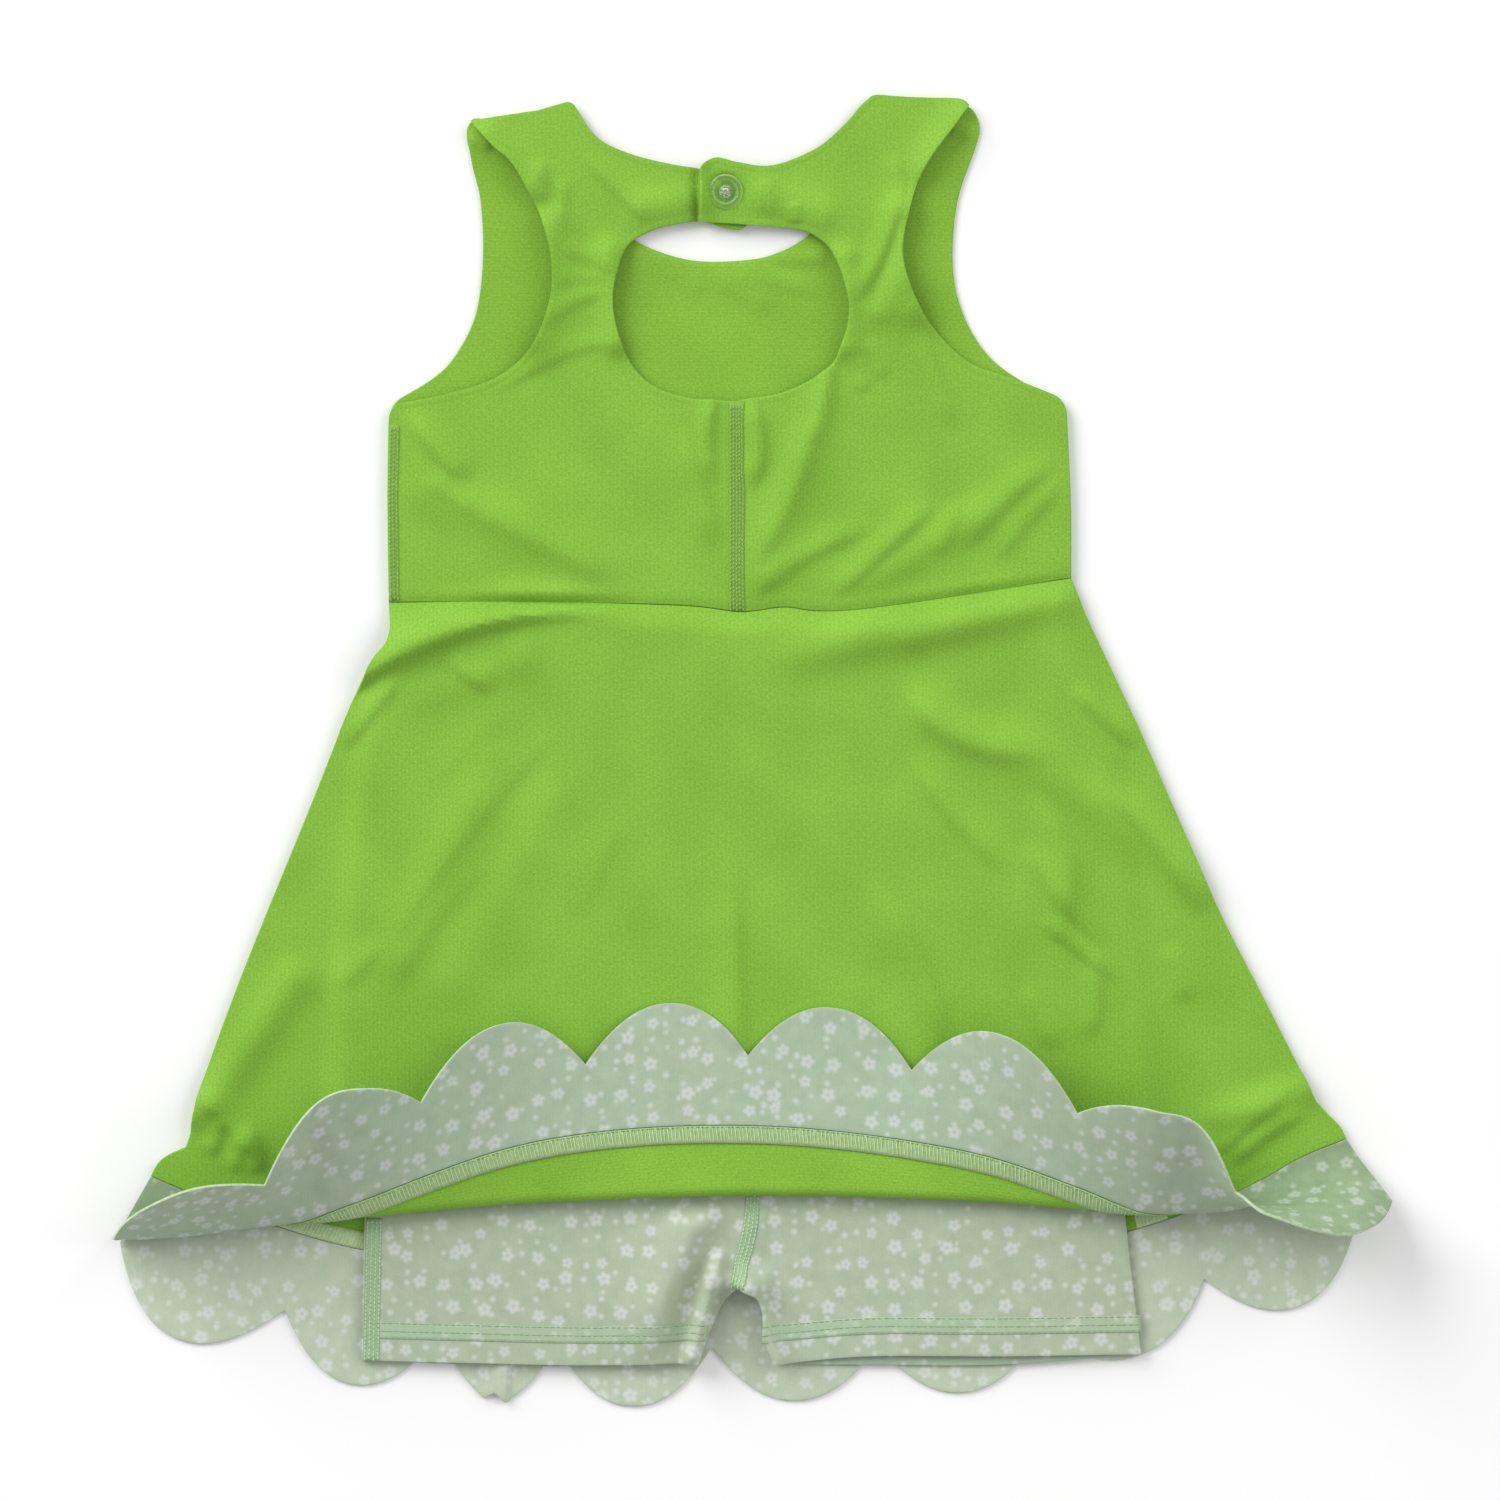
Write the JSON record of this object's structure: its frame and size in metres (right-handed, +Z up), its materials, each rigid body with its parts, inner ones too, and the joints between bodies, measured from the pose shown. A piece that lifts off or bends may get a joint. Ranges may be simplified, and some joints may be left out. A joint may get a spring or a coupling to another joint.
{
  "type": "athletic dress laid flat",
  "caption": "Girl's sleeveless athletic dress laid flat on its front: keyhole back with a snap tab, flared skirt, scalloped hem turned up over built-in shorts.",
  "frame": {"origin": "middle of the laid dress's box, on the surface that it lies on", "axes": "+Y from the hem to the shoulders, +X to the right as seen from above, +Z up from the surface, out of the dress's back"},
  "size_m": [0.5116, 0.5244, 0.0445],
  "materials": {
    "green_jersey": "smooth matt stretch jersey",
    "sage_print": "printed matt stretch jersey",
    "clear_plastic": "clear moulded plastic"
  },
  "bodies": {
    "root": {"bodice_front": "green_jersey", "bodice_back_left": "green_jersey", "bodice_back_right": "green_jersey", "skirt_front": "green_jersey", "skirt_back": "green_jersey", "hem_band_front": "sage_print", "hem_band_back": "sage_print", "shorts_front_left": "sage_print", "shorts_front_right": "sage_print", "shorts_back_left": "sage_print", "shorts_back_right": "sage_print", "snap_cap": "clear_plastic"}
  },
  "joints": []
}
